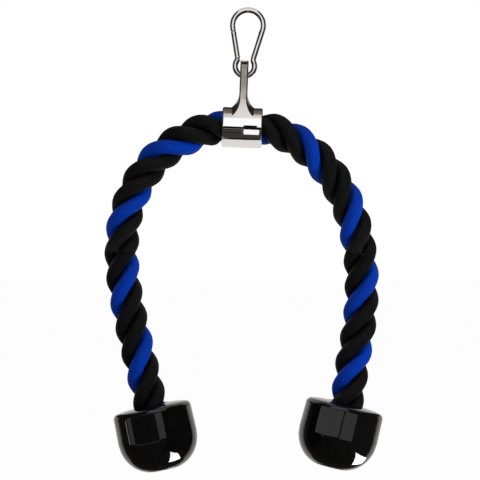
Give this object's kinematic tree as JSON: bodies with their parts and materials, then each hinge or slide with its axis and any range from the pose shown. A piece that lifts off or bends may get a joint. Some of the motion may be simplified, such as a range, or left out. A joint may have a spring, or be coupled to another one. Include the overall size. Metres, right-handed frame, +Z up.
{
  "type": "triceps rope attachment",
  "caption": "Rope pull for a cable machine: a snap hook, a swinging forged bracket and two laid-rope legs, each ending in a heavy moulded stop.",
  "frame": {"origin": "the inside of the top of the snap hook's big eye, where the cable machine carries the part", "axes": "+Z up, +X across the rope's arch towards its right-hand leg, +Y from the pictured front to the back"},
  "size_m": [0.232, 0.0668, 0.3881],
  "materials": {
    "polished_chrome": "polished chrome plate",
    "spring_steel": "bright drawn wire",
    "blue_rope_fibre": "laid fibre rope strand",
    "black_rope_fibre": "laid fibre rope strand",
    "zinc_plated_steel": "zinc plated",
    "gloss_black_moulding": "glossy moulded",
    "black_plug_plastic": "satin moulded"
  },
  "bodies": {
    "hook": {"snap_hook_body": "polished_chrome", "gate_rivet": "polished_chrome"},
    "gate": {"gate": "polished_chrome", "gate_latch_pin": "polished_chrome", "gate_spring": "spring_steel"},
    "gate_plunger": {"gate_plunger": "polished_chrome"},
    "bracket": {"bracket": "polished_chrome", "sleeve_blue_strand": "blue_rope_fibre", "sleeve_black_strand_1": "black_rope_fibre", "sleeve_black_strand_2": "black_rope_fibre"},
    "left_leg": {"left_bend_blue_strand": "blue_rope_fibre", "left_bend_black_strand_1": "black_rope_fibre", "left_bend_black_strand_2": "black_rope_fibre", "left_grip_blue_strand": "blue_rope_fibre", "left_grip_black_strand_1": "black_rope_fibre", "left_grip_black_strand_2": "black_rope_fibre", "left_end_cap": "gloss_black_moulding", "left_ferrule": "zinc_plated_steel", "left_washer": "zinc_plated_steel", "left_screw": "zinc_plated_steel", "left_cap_plug": "black_plug_plastic"},
    "right_leg": {"right_bend_blue_strand": "blue_rope_fibre", "right_bend_black_strand_1": "black_rope_fibre", "right_bend_black_strand_2": "black_rope_fibre", "right_grip_blue_strand": "blue_rope_fibre", "right_grip_black_strand_1": "black_rope_fibre", "right_grip_black_strand_2": "black_rope_fibre", "right_end_cap": "gloss_black_moulding", "right_ferrule": "zinc_plated_steel", "right_washer": "zinc_plated_steel", "right_screw": "zinc_plated_steel", "right_cap_plug": "black_plug_plastic"}
  },
  "joints": [
    {"name": "gate_hinge", "type": "hinge", "parent": "hook", "child": "gate", "pos_m": [-0.00963, 0, -0.03739], "axis": [0, 1, 0], "range_deg": [0, 26], "stiffness_Nm_per_rad": 0.25, "springref_deg": -17.19},
    {"name": "plunger_slide", "type": "slide", "parent": "gate", "child": "gate_plunger", "axis": [-0.1537, 0, 0.9881], "range_m": [0, 0.00075], "deforming": ["gate_spring"]},
    {"name": "bracket_swing", "type": "hinge", "parent": "hook", "child": "bracket", "pos_m": [-0.00409, 0, -0.05319], "axis": [0.9993, 0, -0.0384], "range_deg": [-110, 110]},
    {"name": "left_leg_bend", "type": "hinge", "parent": "bracket", "child": "left_leg", "pos_m": [-0.02249, 0, -0.09572], "axis": [0, 1, 0], "range_deg": [-8, 40], "stiffness_Nm_per_rad": 1.2, "springref_deg": 5.41, "deforming": ["left_bend_blue_strand", "left_bend_black_strand_1", "left_bend_black_strand_2"]},
    {"name": "right_leg_bend", "type": "hinge", "parent": "bracket", "child": "right_leg", "pos_m": [0.01099, 0, -0.097], "axis": [0, -1, 0], "range_deg": [-8, 40], "stiffness_Nm_per_rad": 1.2, "springref_deg": 6.26, "deforming": ["right_bend_blue_strand", "right_bend_black_strand_1", "right_bend_black_strand_2"]}
  ],
  "couplings": [
    {"joint": "plunger_slide", "follows": "gate_hinge", "m_per_rad": 0.0015}
  ]
}
